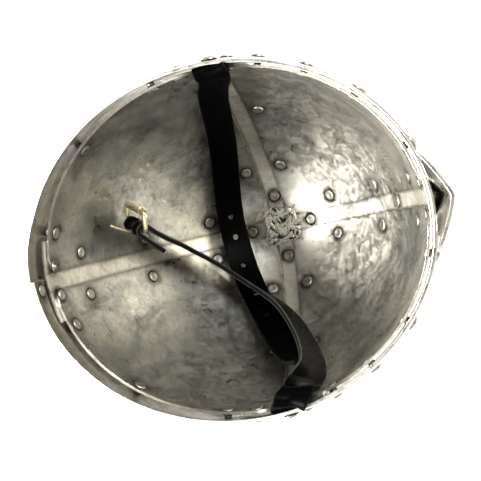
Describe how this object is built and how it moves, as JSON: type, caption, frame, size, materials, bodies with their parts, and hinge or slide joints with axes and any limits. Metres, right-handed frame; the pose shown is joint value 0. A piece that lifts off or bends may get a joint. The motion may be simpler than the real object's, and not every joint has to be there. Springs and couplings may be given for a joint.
{
  "type": "riveted helmet with nasal",
  "caption": "Open steel helmet of riveted plates with a brow band, a nasal bar and two leather chin straps, one with a roller buckle; the straps lift out of the bowl and the buckle swings.",
  "frame": {"origin": "middle of the flush plug between the four apex rivet heads, on the surface that the upturned helmet rests on", "axes": "+Z out of the head opening, -Y towards the nasal (the wearer's front), +X towards the wearer's right; worn, the row turns half a turn about Y"},
  "size_m": [0.2094, 0.25, 0.23],
  "materials": {
    "plate_steel": "satin, hand polished, cloudy tarnish",
    "spangen_steel": "satin, brighter where it was ground",
    "band_steel": "satin with polished edges",
    "nasal_steel": "satin with polished edges",
    "cap_steel": "satin",
    "weld": "bright and lumpy, as welded and hammered",
    "rivet_steel": "hammered, darker round the set heads",
    "anchor_leather": "glossy black grain",
    "billet_leather": "glossy black grain, pale cut edges",
    "strap_leather": "glossy black grain, pale cut edges",
    "buckle_metal": "warm polished wire",
    "prong_metal": "warm polished wire",
    "roller_metal": "warm polished tube"
  },
  "bodies": {
    "shell": {"plate_front_right": "plate_steel", "plate_front_left": "plate_steel", "plate_back_right": "plate_steel", "plate_back_left": "plate_steel", "spangen_front": "spangen_steel", "spangen_back": "spangen_steel", "spangen_right": "spangen_steel", "spangen_left": "spangen_steel", "brow_band": "band_steel", "nasal": "nasal_steel", "apex_cap": "cap_steel", "apex_weld": "weld", "crown_rivets": "rivet_steel", "brow_rivets": "rivet_steel", "nasal_rivets": "rivet_steel", "back_spangen_rivets": "rivet_steel", "side_spangen_rivets": "rivet_steel", "apex_rivets": "rivet_steel", "lap_rivet": "rivet_steel", "billet_anchor": "anchor_leather", "billet_rivet": "rivet_steel", "buckle_anchor": "anchor_leather", "buckle_rivet": "rivet_steel"},
    "billet": {"billet_strap": "billet_leather"},
    "buckle_strap": {"buckle_strap": "strap_leather", "buckle_loop": "strap_leather"},
    "buckle": {"buckle_frame": "buckle_metal"},
    "prong": {"buckle_prong": "prong_metal"},
    "roller": {"buckle_roller": "roller_metal"}
  },
  "joints": [
    {"name": "buckle_strap_lift", "type": "hinge", "parent": "shell", "child": "buckle_strap", "pos_m": [-0.0905, -0.018, 0.17], "axis": [0, -1, 0], "range_deg": [0, 130]},
    {"name": "billet_strap_lift", "type": "hinge", "parent": "shell", "child": "billet", "pos_m": [0.0905, -0.016, 0.168], "axis": [0, 1, 0], "range_deg": [0, 52]},
    {"name": "buckle_swivel", "type": "hinge", "parent": "buckle_strap", "child": "buckle", "pos_m": [0.0209, 0.0734, 0.09], "axis": [-0.371, -0.646, 0.6671], "range_deg": [-50, 80]},
    {"name": "prong_swing", "type": "hinge", "parent": "buckle", "child": "prong", "pos_m": [0.0209, 0.0734, 0.09], "axis": [-0.371, -0.646, 0.6671], "range_deg": [-60, 10]},
    {"name": "roller_spin", "type": "hinge", "parent": "buckle", "child": "roller", "pos_m": [0.03297, 0.07017, 0.09359], "axis": [-0.371, -0.646, 0.6671], "continuous": true}
  ],
  "couplings": [
    {"joint": "billet_strap_lift", "follows": "buckle_strap_lift", "ratio": 0.4}
  ]
}
